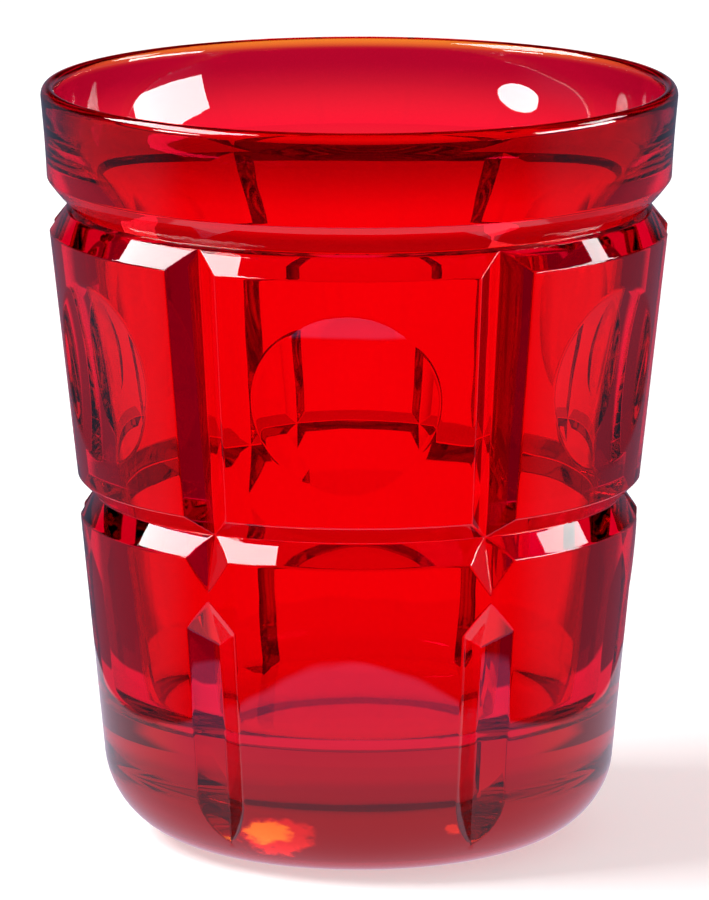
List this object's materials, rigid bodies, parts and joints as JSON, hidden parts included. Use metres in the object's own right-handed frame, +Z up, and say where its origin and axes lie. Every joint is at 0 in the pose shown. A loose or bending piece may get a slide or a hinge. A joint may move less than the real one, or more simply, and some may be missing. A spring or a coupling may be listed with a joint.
{
  "type": "glass tumbler",
  "caption": "Ruby glass tumbler with a plain rim band, mitre-cut panels with round thumbprint dishes and pointed flutes over a heavy rounded foot.",
  "frame": {"origin": "centre of the ring that the glass stands on, on the table plane", "axes": "+Z up along the axis of the glass, -Y through the middle of one upper panel"},
  "size_m": [0.0834, 0.0834, 0.1],
  "materials": {
    "ruby_glass": "fire-polished outside and inside, cuts polished but slightly rippled"
  },
  "bodies": {
    "root": {"glass_body": "ruby_glass"}
  },
  "joints": []
}
